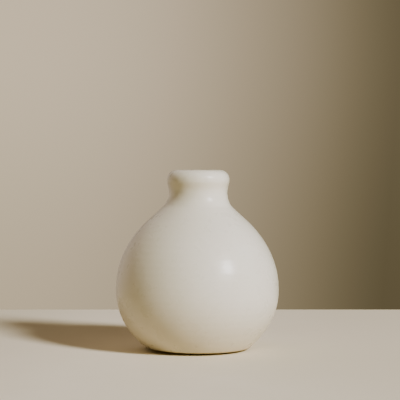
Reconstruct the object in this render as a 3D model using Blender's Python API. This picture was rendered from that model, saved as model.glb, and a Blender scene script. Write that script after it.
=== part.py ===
"""Ceramic bud vase: a round stoneware body, glazed outside and inside, on four felt pads.

Metres, +Z up. The origin is on the table, on the vase's axis. Nothing on the vase moves.

The wall is drawn as two finished outlines, one outside and one inside. Each is traced from the
widest ring of the belly, down to the base and up to the rim, as arcs and straight runs that touch
smoothly. The glaze coats and the clay under them lie at fixed depths below those outlines.
"""

from math import acos, ceil, cos, radians, sin, tau

import bmesh
import bpy

# Headings of the outlines, in degrees: 0 points away from the axis, 90 up, 180 to the axis, 270 down.
OUTWARD = 0
UP = 90
INWARD = 180
DOWN = 270

# Outside of the glazed vase, from the widest ring of the belly. An arc is (radius, heading at its end).
BELLY_RADIUS = 0.0519
BELLY_HEIGHT = 0.0378
LOWER_BELLY = (0.0434, 238.7)
LOWER_WALL = (0.0533, 219.5)
BASE_CORNER = (0.0012, INWARD)
UPPER_BELLY = (0.0559, 120)
SHOULDER = (0.0683, 137.5)
SHOULDER_RUN = 0.0117
NECK_HOLLOW = (0.0131, 77)
NECK_RUN = 0.0032
RIM_SIDE = (0.0095, 93)
RIM_TOP = (0.0061, INWARD)

# Inside of the glazed vase.
WALL = 0.0056
FLOOR_CORNER = 0.0100
FLOOR_CORNER_HEADING = 224
THROAT_HEADING = 98
MOUTH_LIP = 0.0024
GLAZE_JOIN_DROP = 0.0030

# Layers of the wall, and the gap that keeps neighbouring pieces apart.
GLAZE = 0.0005
GAP = 0.0003
CLAY_DEPTH = GLAZE + GAP

# Underside of the clay: an unglazed standing ring around a shallow recess.
RECESS_RADIUS = 0.0180
RECESS_DEPTH = 0.0010
RECESS_SLOPE = 0.0012

# Felt pads, stuck under the standing ring.
PAD_RADIUS = 0.0045
PAD_CIRCLE_RADIUS = 0.0270
PAD_EDGE_ROUNDING = 0.0003
PAD_ANGLES = {"right": 0, "back": 90, "left": 180, "front": 270}

# Fineness of the solids: sides of a turned piece, and how far an arc's chord may fall inside the arc.
TURNED_SIDES = 40
PAD_SIDES = 24
CHORD_ERROR = 0.00015
SHARP_ANGLE = 40
WELD_DISTANCE = 1e-6

# Colours are linear (red, green, blue).
CLAY_COLOUR = (0.60, 0.52, 0.42)
GLAZE_COLOUR = (0.72, 0.69, 0.63)
LINER_COLOUR = (0.74, 0.71, 0.66)
FELT_COLOUR = (0.045, 0.037, 0.030)


class Outline:
    """A line drawn in the plane of radius and height, one arc or straight run after another."""

    def __init__(self, radius, height, heading):
        self.points = [(radius, height)]
        self.heading = radians(heading)

    def run(self, length):
        """Goes straight on."""
        radius, height = self.points[-1]
        self.points.append((radius + length * cos(self.heading), height + length * sin(self.heading)))

    def climb(self, height):
        """Goes straight on until it reaches this height."""
        self.run((height - self.points[-1][1]) / sin(self.heading))

    def arc(self, radius, end_heading, growth):
        """Turns to end_heading on an arc of radius + growth: left if the heading grows, or else right.

        The steps are counted for radius alone. Outlines that differ only in growth then match point by
        point, and their facets stay parallel.
        """
        turn = radians(end_heading) - self.heading
        signed_radius = (radius + growth) * (1 if turn > 0 else -1)
        largest_step = 2 * acos(1 - CHORD_ERROR / radius)
        steps = ceil(abs(turn) / largest_step)
        start_radius, start_height = self.points[-1]
        centre_radius = start_radius - signed_radius * sin(self.heading)
        centre_height = start_height + signed_radius * cos(self.heading)
        for step in range(1, steps + 1):
            heading = self.heading + turn * step / steps
            self.points.append(
                (centre_radius + signed_radius * sin(heading), centre_height - signed_radius * cos(heading))
            )
        self.heading = radians(end_heading)


def bottom_to_top(down, up):
    """The points of two outlines that start at the same place, in one list without a double point."""
    return down.points[:0:-1] + up.points


def outside(depth):
    """Points from the edge of the base up to the crest of the rim, this deep under the finished surface."""
    down = Outline(BELLY_RADIUS - depth, BELLY_HEIGHT, DOWN)
    for radius, heading in (LOWER_BELLY, LOWER_WALL, BASE_CORNER):
        down.arc(radius, heading, -depth)
    up = Outline(BELLY_RADIUS - depth, BELLY_HEIGHT, UP)
    for radius, heading in (UPPER_BELLY, SHOULDER):
        up.arc(radius, heading, -depth)
    up.run(SHOULDER_RUN)
    up.arc(*NECK_HOLLOW, depth)
    up.run(NECK_RUN)
    for radius, heading in (RIM_SIDE, RIM_TOP):
        up.arc(radius, heading, -depth)
    return bottom_to_top(down, up)


def inside_down(depth):
    """The outline from the widest ring inside, down to the flat floor."""
    inset = WALL - depth
    down = Outline(BELLY_RADIUS - inset, BELLY_HEIGHT, DOWN)
    down.arc(*LOWER_BELLY, -inset)
    down.arc(LOWER_WALL[0], FLOOR_CORNER_HEADING, -inset)
    down.arc(FLOOR_CORNER, INWARD, depth)
    return down


def inside_up(depth):
    """The outline from the widest ring inside, up to where the throat's straight side begins."""
    inset = WALL - depth
    up = Outline(BELLY_RADIUS - inset, BELLY_HEIGHT, UP)
    for radius, heading in (UPPER_BELLY, SHOULDER):
        up.arc(radius, heading, -inset)
    up.run(SHOULDER_RUN)
    up.arc(NECK_HOLLOW[0], THROAT_HEADING, inset)
    return up


def turn_over_lip(up, depth):
    """Takes an outline that is in the throat up its straight side, and over the lip to the crest."""
    crest_height = outside(depth)[-1][1]
    lip_rise = (MOUTH_LIP - depth) * (1 - cos(radians(THROAT_HEADING)))
    up.climb(crest_height - lip_rise)
    up.arc(MOUTH_LIP, OUTWARD, -depth)


def glaze_join_height():
    """Height in the throat where the outer glaze ends and the liner glaze begins."""
    throat_top = outside(0)[-1][1] - MOUTH_LIP
    return throat_top - GLAZE_JOIN_DROP


def cavity_to_crest(depth):
    """Points of the whole inside, from the floor's edge up to the crest of the rim."""
    up = inside_up(depth)
    turn_over_lip(up, depth)
    return bottom_to_top(inside_down(depth), up)


def cavity_to_join(depth):
    """Points of the inside below the glaze join, from the floor's edge up."""
    up = inside_up(depth)
    up.climb(glaze_join_height() - GAP)
    return bottom_to_top(inside_down(depth), up)


def mouth_above_join(depth):
    """Points from the glaze join up over the lip, to the crest of the rim."""
    up = inside_up(depth)
    up.climb(glaze_join_height())
    first_above = len(up.points) - 1
    turn_over_lip(up, depth)
    return up.points[first_above:]


def from_axis(points):
    """The points, with one in front of them on the axis, level with the first."""
    return [(0, points[0][1])] + points


def material(name, colour, roughness):
    made = bpy.data.materials.new(name)
    made.use_nodes = True
    shader = made.node_tree.nodes["Principled BSDF"]
    shader.inputs["Base Color"].default_value = (*colour, 1)
    shader.inputs["Roughness"].default_value = roughness
    shader.inputs["Metallic"].default_value = 0
    made.diffuse_color = (*colour, 1)
    return made


def turned(name, outline, sides, finish, closed=False):
    """A solid turned from an outline that starts and ends on the axis, or that closes on itself."""
    mesh = bpy.data.meshes.new(name)
    shape = bmesh.new()
    corners = [shape.verts.new((radius, 0, height)) for radius, height in outline]
    edges = [shape.edges.new(pair) for pair in zip(corners, corners[1:])]
    if closed:
        edges.append(shape.edges.new((corners[-1], corners[0])))
    bmesh.ops.spin(
        shape, geom=corners + edges, cent=(0, 0, 0), axis=(0, 0, 1), dvec=(0, 0, 0), angle=tau, steps=sides
    )
    bmesh.ops.remove_doubles(shape, verts=shape.verts, dist=WELD_DISTANCE)
    bmesh.ops.recalc_face_normals(shape, faces=shape.faces)
    shape.to_mesh(mesh)
    shape.free()
    mesh.materials.append(finish)
    mesh.shade_smooth()
    mesh.set_sharp_from_angle(angle=radians(SHARP_ANGLE))
    made = bpy.data.objects.new(name, mesh)
    bpy.context.scene.collection.objects.link(made)
    return made


def clay_body():
    """The fired clay in one piece: standing ring, wall, rolled rim and hollow."""
    edge_radius, base_height = outside(0)[0]
    edge_radius -= GAP
    underside = [
        (RECESS_RADIUS, base_height + RECESS_DEPTH),
        (RECESS_RADIUS + RECESS_SLOPE, base_height),
        (edge_radius, base_height),
        (edge_radius, base_height + CLAY_DEPTH),
    ]
    hollow = from_axis(cavity_to_crest(CLAY_DEPTH))
    outline = from_axis(underside) + outside(CLAY_DEPTH) + hollow[::-1]
    return turned("clay_body", outline, TURNED_SIDES, material("stoneware", CLAY_COLOUR, 0.85))


def outer_glaze():
    """The glaze outside, from the edge of the base over the rim and a little way down the throat."""
    face = outside(0) + mouth_above_join(0)[::-1]
    back = outside(GLAZE) + mouth_above_join(GLAZE)[::-1]
    finish = material("satin_glaze", GLAZE_COLOUR, 0.42)
    return turned("outer_glaze", face + back[::-1], TURNED_SIDES, finish, closed=True)


def liner_glaze():
    """The glaze inside, over the floor and up to the join in the throat."""
    back = from_axis(cavity_to_join(GLAZE))
    face = from_axis(cavity_to_join(0))
    return turned("liner_glaze", back + face[::-1], TURNED_SIDES, material("liner_glaze", LINER_COLOUR, 0.25))


def felt_pads():
    """Four round pads, set on a circle under the standing ring."""
    thickness = outside(0)[0][1] - GAP
    felt = material("felt", FELT_COLOUR, 0.95)
    side_and_edge = [
        (PAD_RADIUS, 0),
        (PAD_RADIUS, thickness - PAD_EDGE_ROUNDING),
        (PAD_RADIUS - PAD_EDGE_ROUNDING, thickness),
    ]
    outline = from_axis(side_and_edge) + [(0, thickness)]
    for place, angle in PAD_ANGLES.items():
        pad = turned("felt_pad_" + place, outline, PAD_SIDES, felt)
        pad.location.x = PAD_CIRCLE_RADIUS * cos(radians(angle))
        pad.location.y = PAD_CIRCLE_RADIUS * sin(radians(angle))


def main():
    for leftover in list(bpy.data.objects):
        bpy.data.objects.remove(leftover, do_unlink=True)
    clay_body()
    outer_glaze()
    liner_glaze()
    felt_pads()


main()
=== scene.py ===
"""The looks of the ceramic bud vase: a satin glaze outside, a glossier one inside, stoneware and felt pads.

Metres, +Z up, in the frame of the CAD model. The origin is on the table, on the vase's axis.
"""

from math import ceil, cos, pi, radians, sin, tau

import bpy
import numpy as np
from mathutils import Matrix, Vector, noise


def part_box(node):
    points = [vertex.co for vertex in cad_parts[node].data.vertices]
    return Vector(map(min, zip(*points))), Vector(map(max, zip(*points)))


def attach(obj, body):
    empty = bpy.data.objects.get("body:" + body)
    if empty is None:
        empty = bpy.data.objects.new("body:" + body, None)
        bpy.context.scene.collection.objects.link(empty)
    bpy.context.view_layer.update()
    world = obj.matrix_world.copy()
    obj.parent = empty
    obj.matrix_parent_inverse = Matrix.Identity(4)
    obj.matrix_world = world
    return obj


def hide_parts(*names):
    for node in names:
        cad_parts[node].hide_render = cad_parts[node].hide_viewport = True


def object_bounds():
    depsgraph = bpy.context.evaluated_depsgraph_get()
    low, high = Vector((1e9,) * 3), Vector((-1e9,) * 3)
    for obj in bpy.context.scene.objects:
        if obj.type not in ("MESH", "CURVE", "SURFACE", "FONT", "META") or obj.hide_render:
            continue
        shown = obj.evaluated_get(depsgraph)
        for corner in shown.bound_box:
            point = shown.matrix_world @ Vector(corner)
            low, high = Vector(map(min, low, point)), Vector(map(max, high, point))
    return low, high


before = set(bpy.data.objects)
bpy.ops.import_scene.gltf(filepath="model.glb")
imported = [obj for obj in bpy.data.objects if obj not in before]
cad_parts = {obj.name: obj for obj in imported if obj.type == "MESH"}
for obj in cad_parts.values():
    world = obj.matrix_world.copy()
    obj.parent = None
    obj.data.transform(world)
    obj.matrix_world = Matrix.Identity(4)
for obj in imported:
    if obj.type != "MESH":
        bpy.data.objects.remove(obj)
cad_low, cad_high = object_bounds()

# Heights and radii that the CAD model gives.
TOP = cad_high.z
BELLY_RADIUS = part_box("outer_glaze")[1].x
BASE_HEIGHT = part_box("clay_body")[0].z
PAD_RADIUS = (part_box("felt_pad_front")[1].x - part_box("felt_pad_front")[0].x) / 2

# Headings of the outlines, in degrees: 0 points away from the axis, 90 up, 180 to the axis, 270 down.
OUTWARD = 0
UP = 90
INWARD = 180
DOWN = 270

# Finished outline, the same as the CAD model's. An arc is (radius, heading at its end).
BELLY_HEIGHT = 0.0378
LOWER_BELLY = (0.0434, 238.7)
LOWER_WALL = (0.0533, 219.5)
BASE_CORNER = (0.0012, INWARD)
UPPER_BELLY = (0.0559, 120)
SHOULDER = (0.0683, 137.5)
SHOULDER_RUN = 0.0117
NECK_HOLLOW = (0.0131, 77)
NECK_RUN = 0.0032
RIM_SIDE = (0.0095, 93)
RIM_TOP = (0.0061, INWARD)
WALL = 0.0056
FLOOR_CORNER = 0.0100
FLOOR_CORNER_HEADING = 224
THROAT_HEADING = 98
MOUTH_LIP = 0.0024
GLAZE_JOIN_DROP = 0.0030
JOIN_HEIGHT = TOP - MOUTH_LIP - GLAZE_JOIN_DROP

# Layers of the wall. The clay all but touches the glazes.
GLAZE = 0.0005
CLAY_DEPTH = 0.00053

# The lap of the two glazes in the throat: how deep it lies under the finished surface, its half height,
# and the gap left in it.
LAP_DEPTH = 0.00022
LAP_SLOPE = 0.0008
LAP_CLEARANCE = 0.00003

# The bottom edge of the outer glaze stops this far round the base corner, and bare clay just short of it.
GLAZE_EDGE_HEADING = 200
BARE_CLAY_HEADING = 196
BARE_CLAY_DEPTH = 0.00005

# Underside of the clay: a recess in the middle, and trimming rings that fade out close to the edge.
RECESS_RADIUS = 0.0180
RECESS_DEPTH = 0.0010
RECESS_SLOPE = 0.0012
TRIM_PITCH = 0.0011
TRIM_DEPTH = 0.00006
TRIM_EDGE = 0.0010
STEPS_PER_TRIM_RING = 6

# The hand in it: the neck stands a little to the right of the belly, and the foot is not quite flat.
NECK_SHIFT = 0.00064
NECK_SHIFT_FROM = 0.0888
NECK_SHIFT_TO = 0.0985
FOOT_LEAN = 0.00060
FOOT_LEAN_TOP = 0.0140
UNEVENNESS = 0.00006
UNEVENNESS_SIZE = 0.030

# Relief on the glazed face: soft rings left by throwing, which wander by some radians, and the slow ripple
# of a glaze.
RING_PITCH = 0.0042
RING_WANDER = 2
RING_DEPTH = 0.000012
RIPPLE_DEPTH = 0.000018
RIPPLE_SIZE = 0.0045

# Felt pads, each with a film of adhesive above it.
PAD_EDGE = 0.00025
PAD_CLEARANCE = 0.00006
ADHESIVE_RADIUS = 0.0042
ADHESIVE_THICKNESS = 0.00025
FUZZ_DEPTH = 0.00005
FUZZ_SIZE = 0.0004

# Colours of the outer glaze: its clouds, its freckles, its painted shade low down and in the neck's waist
# under the rim, and where it runs thin at the foot, a strip that also paints shade along the table, and
# over the crest.
GLAZE_SHADES = ((0.755, 0.690, 0.578), (0.775, 0.712, 0.602))
FRECKLE_COLOUR = (0.60, 0.52, 0.40)
LOW_SHADE_COLOUR = (0.703, 0.627, 0.520)
WAIST_SHADE_COLOUR = (0.695, 0.620, 0.505)
FOOT_TOAST_AND_SHADE_COLOUR = (0.36, 0.22, 0.12)
CREST_COLOUR = (0.66, 0.56, 0.43)

# Heights between which the outer glaze and its painted shade change. The last two are bands: start, full,
# fading and end.
LOW_SHADE_HEIGHTS = (0.0, 0.0520)
THIN_FOOT_AND_SHADE = (BASE_HEIGHT + 0.0004, BASE_HEIGHT + 0.0012)
THIN_CREST = (TOP - 0.0006, TOP + 0.0004)
WAIST_SHADE_HEIGHTS = (0.1008, 0.1040, 0.1045, 0.1080)
DULL_HOLLOW = (0.0860, 0.0910, 0.0985, 0.1030)

# Colours of the glaze inside, and the heights between which its pool thins out.
LINER_SHADES = ((0.745, 0.680, 0.565), (0.765, 0.705, 0.595))
POOL_COLOUR = (0.68, 0.61, 0.48)
POOL_TONE = (0.007, 0.018)

# Colours of the bare clay, the felt and the adhesive.
CLAY_SHADES = ((0.50, 0.38, 0.27), (0.60, 0.48, 0.35))
SAND_COLOUR = (0.68, 0.58, 0.45)
IRON_COLOUR = (0.12, 0.07, 0.04)
FELT_SHADES = ((0.022, 0.017, 0.013), (0.085, 0.068, 0.052))
ADHESIVE_SHADES = ((0.48, 0.43, 0.33), (0.62, 0.57, 0.46))

# Table top: its left, right, front and back sides, its colours near the vase and away from it, and where
# the one gives way to the other on each side. Lighter round the vase, it bears a painted pool of light.
FLOOR_SIDES = (-0.70, 2.00, -2.00, 0.216)
FLOOR_SHADES = ((0.830, 0.734, 0.610), (0.850, 0.755, 0.632))
FLOOR_PAINTED_FALLOFF_COLOUR = (0.767, 0.679, 0.564)
LIGHT_POOL_LEFT_EDGE = (-0.16, -0.07)
LIGHT_POOL_RIGHT_EDGE = (0.0, 0.13)

# Camera: millimetres of lens, metres, and degrees of downward pitch. It stands level with the rim.
LENS = 109.8
CAMERA_DISTANCE = 0.7775
CAMERA_SIDE = 0.0017
CAMERA_PITCH = 1.413

# Lamps: azimuth, elevation, distance, size, power, colour. The window lights the picture. The bright part
# of it that the glaze mirrors is a lamp of its own, which only reflections see.
WINDOW_LIGHT = (46.4, 30.2, 5.0, 1.0, 309, (1.0, 1.03, 1.12))
MIRRORED_LIGHT = (47.3, 28.3, 2.5, 0.45, 28, (1.0, 0.98, 0.92))

# Light that the room throws back: glows of (colour, azimuth, elevation, tightness).
ROOM_GLOWS = [
    ((0.90, 0.795, 0.90), 229, 23, 3.1),
    ((0.23, 0.13, 0.06), 0, 90, 8),
]

# Backdrop: colours across the picture from left to right, darkening to the right as painted shade, their
# lean to the left at the bottom, how dark its painted shade is low down, and between which heights in the
# picture it darkens.
BACKDROP_SHADES = [
    (0.63, 0.53, 0.461),
    (0.61, 0.51, 0.451),
    (0.54, 0.45, 0.402),
    (0.40, 0.33, 0.299),
    (0.27, 0.224, 0.210),
    (0.125, 0.105, 0.100),
]
BACKDROP_LEAN = 0.05
BACKDROP_LOW = 0.80
BACKDROP_FALL = (0.15, 0.90)

# How the picture is developed: blue falls away faster than red and green do, and black is a dark brown.
BLUE_CONTRAST = 1.2
BLUE_STEPS = 8
SHADOW_LIFT = (0.009, 0.0048, 0.0)

# Fineness of the meshes, and the radius under which a point counts as on the axis.
FACE_SPACING = 0.0008
HIDDEN_SPACING = 0.0030
FEWEST_ARC_STEPS = 4
TURNED_SIDES = 256
PAD_SIDES = 96
PAD_FACE_STEPS = 8
PAD_EDGE_STEPS = 5
SHARP_ANGLE = 35
ON_AXIS = 1e-6


class Outline:
    """A line drawn in the plane of radius and height, one arc or straight run after another."""

    def __init__(self, radius, height, heading, spacing):
        self.points = [(radius, height)]
        self.heading = radians(heading)
        self.spacing = spacing

    def run(self, length):
        """Goes straight on."""
        radius, height = self.points[-1]
        steps = max(1, ceil(length / self.spacing))
        for step in range(1, steps + 1):
            gone = length * step / steps
            self.points.append((radius + gone * cos(self.heading), height + gone * sin(self.heading)))

    def climb(self, height):
        """Goes straight on until it reaches this height."""
        self.run((height - self.points[-1][1]) / sin(self.heading))

    def arc(self, radius, end_heading):
        """Turns to end_heading on an arc of this radius: left if the heading grows, or else right."""
        turn = radians(end_heading) - self.heading
        signed_radius = radius * (1 if turn > 0 else -1)
        steps = max(FEWEST_ARC_STEPS, ceil(abs(turn) * radius / self.spacing))
        start_radius, start_height = self.points[-1]
        centre_radius = start_radius - signed_radius * sin(self.heading)
        centre_height = start_height + signed_radius * cos(self.heading)
        for step in range(1, steps + 1):
            heading = self.heading + turn * step / steps
            self.points.append(
                (centre_radius + signed_radius * sin(heading), centre_height - signed_radius * cos(heading))
            )
        self.heading = radians(end_heading)


def bottom_to_top(down, up):
    """The points of two outlines that start at the same place, in one list without a double point."""
    return down.points[:0:-1] + up.points


def outside(depth, spacing, edge_heading=INWARD):
    """Points from the base corner up to the crest of the rim, this deep under the finished surface."""
    down = Outline(BELLY_RADIUS - depth, BELLY_HEIGHT, DOWN, spacing)
    for radius, heading in (LOWER_BELLY, LOWER_WALL):
        down.arc(radius - depth, heading)
    down.arc(BASE_CORNER[0] - depth, edge_heading)
    up = Outline(BELLY_RADIUS - depth, BELLY_HEIGHT, UP, spacing)
    for radius, heading in (UPPER_BELLY, SHOULDER):
        up.arc(radius - depth, heading)
    up.run(SHOULDER_RUN)
    up.arc(NECK_HOLLOW[0] + depth, NECK_HOLLOW[1])
    up.run(NECK_RUN)
    for radius, heading in (RIM_SIDE, RIM_TOP):
        up.arc(radius - depth, heading)
    return bottom_to_top(down, up)


def inside_down(depth, spacing):
    """The outline from the widest ring inside, down to the middle of the flat floor."""
    inset = WALL - depth
    down = Outline(BELLY_RADIUS - inset, BELLY_HEIGHT, DOWN, spacing)
    down.arc(LOWER_BELLY[0] - inset, LOWER_BELLY[1])
    down.arc(LOWER_WALL[0] - inset, FLOOR_CORNER_HEADING)
    down.arc(FLOOR_CORNER + depth, INWARD)
    down.run(down.points[-1][0])
    down.points[-1] = (0, down.points[-1][1])
    return down


def inside_up(depth, spacing):
    """The outline from the widest ring inside, up to where the throat's straight side begins."""
    inset = WALL - depth
    up = Outline(BELLY_RADIUS - inset, BELLY_HEIGHT, UP, spacing)
    for radius, heading in (UPPER_BELLY, SHOULDER):
        up.arc(radius - inset, heading)
    up.run(SHOULDER_RUN)
    up.arc(NECK_HOLLOW[0] + inset, THROAT_HEADING)
    return up


def lip_start(depth):
    """Height in the throat where the lip begins to turn over."""
    return TOP - depth - (MOUTH_LIP - depth) * (1 - cos(radians(THROAT_HEADING)))


def throat_radius(depth, height):
    """Radius of the throat's straight side at a height."""
    lean = 1 / np.tan(radians(THROAT_HEADING))
    foot_radius, foot_height = inside_up(depth, HIDDEN_SPACING).points[-1]
    return foot_radius + (height - foot_height) * lean


def mouth(depth, spacing, from_height):
    """Points from this height in the throat up over the lip, to the crest of the rim."""
    up = Outline(throat_radius(depth, from_height), from_height, THROAT_HEADING, spacing)
    up.climb(lip_start(depth))
    up.arc(MOUTH_LIP - depth, OUTWARD)
    return up.points


def eased(value, start, end):
    """0 at start and before, 1 at end and after, and smooth between them."""
    part = min(max((value - start) / (end - start), 0), 1)
    return part * part * (3 - 2 * part)


def handmade(x, y, z):
    """Moves a point of the wall as the maker's hand did, the same for the clay and both glazes."""
    shift = NECK_SHIFT * eased(z, NECK_SHIFT_FROM, NECK_SHIFT_TO)
    lean = FOOT_LEAN * (x / BELLY_RADIUS) * (1 - eased(z, 0, FOOT_LEAN_TOP))
    swell = 1 + UNEVENNESS * noise.noise(Vector((x, y, z)) / UNEVENNESS_SIZE) / BELLY_RADIUS
    return x * swell + shift, y * swell, z - lean


def outline_normals(points):
    """Unit normals of an outline, to the right of the way it runs."""
    places = np.array(points)
    along = np.gradient(places, axis=0)
    along /= np.linalg.norm(along, axis=1)[:, None]
    return np.stack([along[:, 1], -along[:, 0]], axis=1)


def glaze_relief(x, y, z):
    """How far the glazed face stands above its outline here."""
    wander = RING_WANDER * noise.noise(Vector((0, 0, z)) / UNEVENNESS_SIZE)
    rings = RING_DEPTH * sin(tau * z / RING_PITCH + wander)
    ripple = RIPPLE_DEPTH * noise.noise(Vector((x, y, z)) / RIPPLE_SIZE)
    return rings + ripple


def swept(outline, sides, put):
    """The points of an outline carried round its axis, and their numbers ring by ring.

    put(index, radius, height, angle) gives the place of one point. A point on the axis is put only once.
    """
    points = []
    rings = []
    for index, (radius, height) in enumerate(outline):
        if radius < ON_AXIS:
            rings.append([len(points)] * sides)
            points.append(put(index, 0, height, 0))
        else:
            rings.append(range(len(points), len(points) + sides))
            points += [put(index, radius, height, tau * side / sides) for side in range(sides)]
    return points, rings


def turned(name, outline, finish, closed, relief_points=0):
    """A piece turned from an outline that starts and ends on the axis, or that closes on itself.

    The first relief_points of the outline get the glaze's relief.
    """
    normals = outline_normals(outline)

    def put(index, radius, height, angle):
        x, y, z = radius * cos(angle), radius * sin(angle), height
        if index < relief_points:
            proud = glaze_relief(x, y, z)
            x += proud * normals[index][0] * cos(angle)
            y += proud * normals[index][0] * sin(angle)
            z += proud * normals[index][1]
        return handmade(x, y, z)

    points, rings = swept(outline, TURNED_SIDES, put)
    if closed:
        rings.append(rings[0])
    return solid(name, points, skin(rings), [finish])


def skin(rings):
    """The faces between each ring of points and the next. A ring on the axis is one point over and over."""
    faces = []
    for low, high in zip(rings, rings[1:]):
        for side in range(len(low)):
            following = (side + 1) % len(low)
            corners = (low[side], low[following], high[following], high[side])
            faces.append(tuple(dict.fromkeys(corners)))
    return faces


def solid(name, points, faces, finishes):
    """A smooth-shaded mesh object of these points and faces."""
    mesh = bpy.data.meshes.new(name)
    mesh.from_pydata(points, [], faces)
    mesh.shade_smooth()
    mesh.set_sharp_from_angle(angle=radians(SHARP_ANGLE))
    for finish in finishes:
        mesh.materials.append(finish)
    made = bpy.data.objects.new(name, mesh)
    bpy.context.scene.collection.objects.link(made)
    return made


def outer_glaze_coat(finish):
    """The glaze outside, from the edge of the base over the rim and a little way down the throat."""
    face = outside(0, FACE_SPACING, GLAZE_EDGE_HEADING)
    face += mouth(0, FACE_SPACING, JOIN_HEIGHT + LAP_SLOPE)[-2::-1]
    face.append((throat_radius(LAP_DEPTH, JOIN_HEIGHT), JOIN_HEIGHT))
    back = outside(GLAZE, HIDDEN_SPACING, GLAZE_EDGE_HEADING)
    back += mouth(GLAZE, HIDDEN_SPACING, JOIN_HEIGHT + 2 * LAP_SLOPE)[-2::-1]
    back.append((throat_radius(LAP_DEPTH + LAP_CLEARANCE, JOIN_HEIGHT), JOIN_HEIGHT))
    return turned("glaze_outer", face + back[::-1], finish, closed=True, relief_points=len(face))


def liner_glaze_coat(finish):
    """The glaze inside, over the floor and up to the throat, where it runs under the outer glaze."""
    face_up = inside_up(0, FACE_SPACING)
    face_up.climb(JOIN_HEIGHT - LAP_SLOPE)
    face = bottom_to_top(inside_down(0, HIDDEN_SPACING), face_up)
    under_lap = LAP_DEPTH + 2 * LAP_CLEARANCE
    face.append((throat_radius(under_lap, JOIN_HEIGHT - LAP_CLEARANCE), JOIN_HEIGHT - LAP_CLEARANCE))
    back_up = inside_up(GLAZE, HIDDEN_SPACING)
    back_up.climb(JOIN_HEIGHT)
    back = bottom_to_top(inside_down(GLAZE, HIDDEN_SPACING), back_up)
    return turned("glaze_inner", back + face[::-1], finish, closed=False)


def trimmed_ring(edge_radius):
    """The underside of the clay from the middle out to the edge, with the rings that trimming left."""
    points = [(0, BASE_HEIGHT + RECESS_DEPTH)]
    steps = int(edge_radius / (TRIM_PITCH / STEPS_PER_TRIM_RING))
    for step in range(1, steps + 1):
        radius = edge_radius * step / steps
        recess = RECESS_DEPTH * (1 - eased(radius, RECESS_RADIUS, RECESS_RADIUS + RECESS_SLOPE))
        wave = 0.5 + 0.5 * sin(tau * radius / TRIM_PITCH)
        groove = TRIM_DEPTH * wave * eased(edge_radius - radius, 0, TRIM_EDGE)
        points.append((radius, BASE_HEIGHT + recess + groove))
    return points


def clay_body(finish):
    """The fired clay in one piece: standing ring, wall, rolled rim and hollow."""
    bare_end = outside(BARE_CLAY_DEPTH, FACE_SPACING, BARE_CLAY_HEADING)[0]
    bare = [point for point in outside(BARE_CLAY_DEPTH, FACE_SPACING) if point[1] < bare_end[1]]
    bare.append(bare_end)
    hidden = outside(CLAY_DEPTH, HIDDEN_SPACING, BARE_CLAY_HEADING)
    over_lip = mouth(CLAY_DEPTH, HIDDEN_SPACING, JOIN_HEIGHT)[-2::-1]
    hollow = bottom_to_top(inside_down(CLAY_DEPTH, HIDDEN_SPACING), inside_up(CLAY_DEPTH, HIDDEN_SPACING))
    outline = trimmed_ring(bare[0][0])[:-1] + bare + hidden + over_lip + hollow[::-1]
    return turned("body_clay", outline, finish, closed=False)


def pad_outline(underside):
    """The outline of a pad from the middle of its foot to that of its top, and how many points are felt."""
    felt_top = underside - ADHESIVE_THICKNESS
    side = PAD_RADIUS - PAD_EDGE
    turns = [pi / 2 * step / PAD_EDGE_STEPS for step in range(PAD_EDGE_STEPS + 1)]
    felt_part = [(side * step / PAD_FACE_STEPS, 0) for step in range(PAD_FACE_STEPS)]
    felt_part += [(side + PAD_EDGE * sin(turn), PAD_EDGE * (1 - cos(turn))) for turn in turns]
    felt_part += [(side + PAD_EDGE * cos(turn), felt_top - PAD_EDGE * (1 - sin(turn))) for turn in turns]
    film = [(ADHESIVE_RADIUS, felt_top), (ADHESIVE_RADIUS, underside), (0, underside)]
    return felt_part + film, len(felt_part)


def felt_pad(place, finish, adhesive):
    """One felt pad with the film of adhesive that holds it under the clay."""
    low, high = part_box("felt_pad_" + place)
    middle = (low + high) / 2
    underside = BASE_HEIGHT - FOOT_LEAN * middle.x / BELLY_RADIUS - PAD_CLEARANCE
    outline, felt_points = pad_outline(underside)

    def put(index, radius, height, angle):
        x, y = middle.x + radius * cos(angle), middle.y + radius * sin(angle)
        if 0 < height and index < felt_points:
            fuzz = FUZZ_DEPTH * (noise.noise(Vector((x, y, height)) / FUZZ_SIZE) - 1)
            x += fuzz * cos(angle)
            y += fuzz * sin(angle)
        return x, y, height

    points, rings = swept(outline, PAD_SIDES, put)
    pad = solid("pad_" + place, points, skin(rings), [finish, adhesive])
    for face in pad.data.polygons[-2 * PAD_SIDES:]:
        face.material_index = 1
    return pad


def node(tree, kind, inputs=None, **settings):
    """Adds a shader node. Each input is a plain value or the output of another node."""
    made = tree.nodes.new("ShaderNode" + kind)
    for name, value in settings.items():
        setattr(made, name, value)
    for place, value in (inputs or {}).items():
        if isinstance(value, bpy.types.NodeSocket):
            tree.links.new(value, made.inputs[place])
        else:
            made.inputs[place].default_value = value
    return made


def new_material(name):
    """A material, its node tree, and the place of the shaded point in metres."""
    made = bpy.data.materials.new(name)
    made.use_nodes = True
    tree = made.node_tree
    place = node(tree, "TexCoord").outputs["Object"]
    return made, tree, place


def grain(tree, place, size, detail=2.0):
    """Noise from 0 to 1 with features of about this size, in metres."""
    return node(tree, "TexNoise", {"Vector": place, "Scale": 1 / size, "Detail": detail}).outputs["Fac"]


def ramp(tree, value, start, end, low=0.0, high=1.0):
    """low where value is at start or before, high at end or after, and smooth between them."""
    inputs = {"Value": value, 1: start, 2: end, 3: low, 4: high}
    return node(tree, "MapRange", inputs, interpolation_type="SMOOTHSTEP").outputs[0]


def clouds(tree, place, size, detail=3.0, low=0.0, high=1.0):
    """Soft clouds of about this size, from low to high."""
    return ramp(tree, grain(tree, place, size, detail), 0.3, 0.7, low, high)


def times(tree, first, second):
    return node(tree, "Math", {0: first, 1: second}, operation="MULTIPLY").outputs[0]


def plus(tree, first, second):
    return node(tree, "Math", {0: first, 1: second}, operation="ADD").outputs[0]


def scaled(tree, colour, factor):
    return node(tree, "VectorMath", {0: colour, "Scale": factor}, operation="SCALE").outputs[0]


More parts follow.
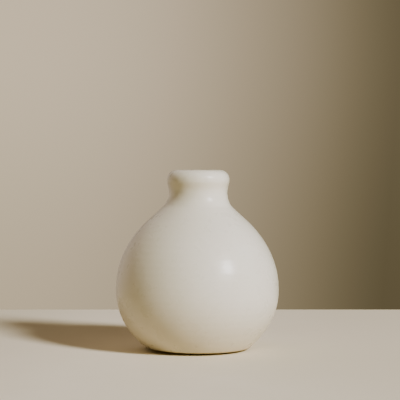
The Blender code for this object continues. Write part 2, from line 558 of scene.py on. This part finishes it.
def band(tree, value, start, full, fading, end):
    """1 from full to fading, 0 before start and after end, and smooth between them."""
    return times(tree, ramp(tree, value, start, full), ramp(tree, value, fading, end, 1.0, 0.0))


def blend(tree, part, first, second):
    """A colour between first and second."""
    colours = [(*c, 1) if isinstance(c, tuple) else c for c in (first, second)]
    return node(tree, "Mix", {0: part, 6: colours[0], 7: colours[1]}, data_type="RGBA").outputs[2]


def bump(tree, height, depth):
    """A normal that tilts as if height stood this many metres proud."""
    return node(tree, "Bump", {"Height": height, "Distance": depth, "Strength": 1.0}).outputs["Normal"]


def finish_with(tree, **inputs):
    """Sets the inputs of the material's Principled shader."""
    shader = tree.nodes["Principled BSDF"]
    for name, value in inputs.items():
        socket = shader.inputs[name.replace("_", " ")]
        if isinstance(value, bpy.types.NodeSocket):
            tree.links.new(value, socket)
        else:
            socket.default_value = value


def height_of(tree, place):
    return node(tree, "SeparateXYZ", {0: place}).outputs["Z"]


def satin_glaze():
    """Cloudy warm white satin, toasted where thin; painted shade low down, under the rim and at the foot.
    """
    made, tree, place = new_material("satin_glaze")
    height = height_of(tree, place)
    colour = blend(tree, clouds(tree, place, 0.030), *GLAZE_SHADES)
    freckles = ramp(tree, grain(tree, place, 0.0022, 4.0), 0.56, 0.80, 0.0, 0.05)
    colour = blend(tree, freckles, colour, FRECKLE_COLOUR)
    # Painted shade: the glaze turns darker and warmer low down on the belly.
    colour = blend(tree, ramp(tree, height, *LOW_SHADE_HEIGHTS, 1.0, 0.0), colour, LOW_SHADE_COLOUR)
    # Painted shade: a darker band in the neck's waist, under the rim.
    colour = blend(tree, times(tree, band(tree, height, *WAIST_SHADE_HEIGHTS), 0.60), colour, WAIST_SHADE_COLOUR)
    ragged = plus(tree, height, times(tree, grain(tree, place, 0.004), 0.0006))
    # The glaze runs thin and toasted at the foot, and this dark strip also paints shade along the table.
    colour = blend(tree, ramp(tree, ragged, *THIN_FOOT_AND_SHADE, 0.50, 0.0), colour, FOOT_TOAST_AND_SHADE_COLOUR)
    colour = blend(tree, ramp(tree, ragged, *THIN_CREST, 0.0, 0.30), colour, CREST_COLOUR)
    dull = times(tree, band(tree, height, *DULL_HOLLOW), 0.04)
    rough = plus(tree, clouds(tree, place, 0.009, low=0.265, high=0.315), dull)
    peel = bump(tree, grain(tree, place, 0.0016), 0.000030)
    finish_with(tree, Base_Color=colour, Roughness=rough, IOR=1.45, Normal=peel)
    return made


def liner_glaze():
    """The same white, glossier, and thicker where it ran down and pooled."""
    made, tree, place = new_material("liner_glaze")
    colour = blend(tree, clouds(tree, place, 0.018), *LINER_SHADES)
    pooled = ramp(tree, height_of(tree, place), *POOL_TONE, 0.6, 0.0)
    colour = blend(tree, pooled, colour, POOL_COLOUR)
    rough = clouds(tree, place, 0.007, low=0.20, high=0.30)
    peel = bump(tree, grain(tree, place, 0.0024), 0.000040)
    finish_with(tree, Base_Color=colour, Roughness=rough, IOR=1.48, Normal=peel)
    return made


def stoneware():
    """Bare fired clay: buff, dry, gritty, with iron specks."""
    made, tree, place = new_material("stoneware")
    colour = blend(tree, clouds(tree, place, 0.012, 4.0), *CLAY_SHADES)
    sand = ramp(tree, grain(tree, place, 0.0006), 0.35, 0.75)
    colour = blend(tree, times(tree, sand, 0.35), colour, SAND_COLOUR)
    specks = ramp(tree, grain(tree, place, 0.0011, 1.0), 0.70, 0.76)
    colour = blend(tree, times(tree, specks, 0.8), colour, IRON_COLOUR)
    rough = ramp(tree, sand, 0.0, 1.0, 0.80, 0.95)
    grit = bump(tree, sand, 0.000060)
    finish_with(tree, Base_Color=colour, Roughness=rough, Normal=grit)
    return made


def felt():
    """Pressed felt, dark brown, its fibres lying every way."""
    made, tree, place = new_material("felt")
    along = node(tree, "Mapping", {"Vector": place, "Scale": (1.0, 5.0, 3.0)}).outputs[0]
    across = node(tree, "Mapping", {"Vector": place, "Scale": (5.0, 1.0, 3.0)}).outputs[0]
    fibres = times(tree, grain(tree, along, 0.0014, 5.0), grain(tree, across, 0.0014, 5.0))
    colour = blend(tree, ramp(tree, fibres, 0.12, 0.40), *FELT_SHADES)
    nap = bump(tree, fibres, 0.00025)
    finish_with(tree, Base_Color=colour, Roughness=0.95, Normal=nap, Sheen_Weight=0.35, Sheen_Roughness=0.5)
    return made


def adhesive_film():
    """Milky foam tape, slightly yellowed."""
    made, tree, place = new_material("adhesive")
    cells = grain(tree, place, 0.0004)
    colour = blend(tree, cells, *ADHESIVE_SHADES)
    finish_with(tree, Base_Color=colour, Roughness=0.6, Normal=bump(tree, cells, 0.00004))
    return made


def floor_finish():
    """Matt pale paint with the faintest unevenness, and a painted pool of light round the vase."""
    made, tree, place = new_material("floor")
    colour = blend(tree, clouds(tree, place, 0.060, 4.0), *FLOOR_SHADES)
    across = node(tree, "SeparateXYZ", {0: place}).outputs["X"]
    # Painted pool of light: away from the vase on either side the floor turns darker.
    painted_falloff = plus(tree, ramp(tree, across, *LIGHT_POOL_RIGHT_EDGE), ramp(tree, across, *LIGHT_POOL_LEFT_EDGE, 1.0, 0.0))
    colour = blend(tree, painted_falloff, colour, FLOOR_PAINTED_FALLOFF_COLOUR)
    uneven = bump(tree, grain(tree, place, 0.002, 3.0), 0.00003)
    finish_with(tree, Base_Color=colour, Roughness=0.75, Normal=uneven)
    return made


def take_place_of(piece, cad_node):
    """The piece rides on the vase's only body, and stands for this CAD node."""
    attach(piece, "root")
    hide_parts(cad_node)


def vase():
    take_place_of(outer_glaze_coat(satin_glaze()), "outer_glaze")
    take_place_of(liner_glaze_coat(liner_glaze()), "liner_glaze")
    take_place_of(clay_body(stoneware()), "clay_body")
    pad_finish = felt()
    adhesive = adhesive_film()
    for place in ("front", "back", "left", "right"):
        take_place_of(felt_pad(place, pad_finish, adhesive), "felt_pad_" + place)


def floor():
    """A table top whose back edge shows behind the vase."""
    left, right, front, back = FLOOR_SIDES
    corners = [(left, front, 0), (right, front, 0), (right, back, 0), (left, back, 0)]
    mesh = bpy.data.meshes.new("floor")
    mesh.from_pydata(corners, [], [(0, 1, 2, 3)])
    mesh.materials.append(floor_finish())
    made = bpy.data.objects.new("floor", mesh)
    bpy.context.scene.collection.objects.link(made)


def camera():
    made = bpy.data.objects.new("camera", bpy.data.cameras.new("camera"))
    made.data.lens = LENS
    made.location = (CAMERA_SIDE, -CAMERA_DISTANCE, TOP)
    made.rotation_euler = (radians(90 - CAMERA_PITCH), 0, 0)
    bpy.context.scene.collection.objects.link(made)
    bpy.context.scene.camera = made


def direction(azimuth, elevation):
    """Unit vector towards a place round the vase. Azimuth 0 is the camera's side, and 90 is its right."""
    around = radians(azimuth)
    above = radians(elevation)
    return Vector((sin(around) * cos(above), -cos(around) * cos(above), sin(above)))


def soft_lamp(name, azimuth, elevation, distance, size, power, colour):
    """A round soft lamp that faces the middle of the vase."""
    lamp = bpy.data.lights.new(name, "AREA")
    lamp.shape = "DISK"
    lamp.size = size
    lamp.energy = power
    lamp.color = colour
    made = bpy.data.objects.new(name, lamp)
    towards = direction(azimuth, elevation)
    made.location = towards * distance + Vector((0, 0, TOP / 2))
    made.rotation_euler = towards.to_track_quat("Z", "Y").to_euler()
    bpy.context.scene.collection.objects.link(made)
    return made


def lamps():
    window = soft_lamp("window", *WINDOW_LIGHT)
    window.visible_glossy = False
    mirrored = soft_lamp("mirrored_window", *MIRRORED_LIGHT)
    mirrored.visible_diffuse = False


def glow(tree, view, colour, azimuth, elevation, tightness):
    """Light from the room on one side, fading away from that direction."""
    aim = node(tree, "VectorMath", {0: view, 1: direction(azimuth, elevation)}, operation="DOT_PRODUCT")
    ahead = node(tree, "Math", {0: aim.outputs["Value"], 1: 0.0}, operation="MAXIMUM").outputs[0]
    fade = node(tree, "Math", {0: ahead, 1: tightness}, operation="POWER").outputs[0]
    return scaled(tree, colour, fade)


def backdrop(tree):
    """The smooth wall the camera sees behind the table, in painted shade to the right and a little low
    down.
    """
    window = node(tree, "SeparateXYZ", {0: node(tree, "TexCoord").outputs["Window"]})
    lean = ramp(tree, window.outputs["Y"], 0.0, 1.0, BACKDROP_LEAN, 0.0)
    shades = node(tree, "ValToRGB", {0: plus(tree, window.outputs["X"], lean)})
    shades.color_ramp.interpolation = "B_SPLINE"
    stops = shades.color_ramp.elements
    while len(stops) < len(BACKDROP_SHADES):
        stops.new(1.0)
    for index, colour in enumerate(BACKDROP_SHADES):
        stops[index].position = index / (len(BACKDROP_SHADES) - 1)
        stops[index].color = (*colour, 1)
    # Painted shade low down on the backdrop.
    fall = ramp(tree, window.outputs["Y"], *BACKDROP_FALL, BACKDROP_LOW, 1.0)
    return scaled(tree, shades.outputs["Color"], fall)


def room():
    """The light that comes from the room, and the backdrop that the camera sees instead of it."""
    world = bpy.data.worlds.new("room")
    bpy.context.scene.world = world
    world.use_nodes = True
    tree = world.node_tree
    view = node(tree, "TexCoord").outputs["Generated"]
    total = (0.0, 0.0, 0.0)
    for colour, azimuth, elevation, tightness in ROOM_GLOWS:
        part = glow(tree, view, colour, azimuth, elevation, tightness)
        total = node(tree, "VectorMath", {0: total, 1: part}, operation="ADD").outputs[0]
    seen = node(tree, "LightPath").outputs["Is Camera Ray"]
    shown = blend(tree, seen, total, backdrop(tree))
    tree.links.new(shown, tree.nodes["Background"].inputs["Color"])


def develop_picture():
    """Turns light into picture colours: soft contrast, with shadows a little warmer than the lights."""
    view = bpy.context.scene.view_settings
    view.view_transform = "AgX"
    view.look = "AgX - Medium High Contrast"
    view.use_curve_mapping = True
    curves = view.curve_mapping
    curves.black_level = [-lift for lift in SHADOW_LIFT]
    blue = curves.curves[2]
    for step in range(1, BLUE_STEPS):
        level = step / BLUE_STEPS
        blue.points.new(level, level ** BLUE_CONTRAST)
    curves.update()


vase()
floor()
camera()
lamps()
room()
develop_picture()
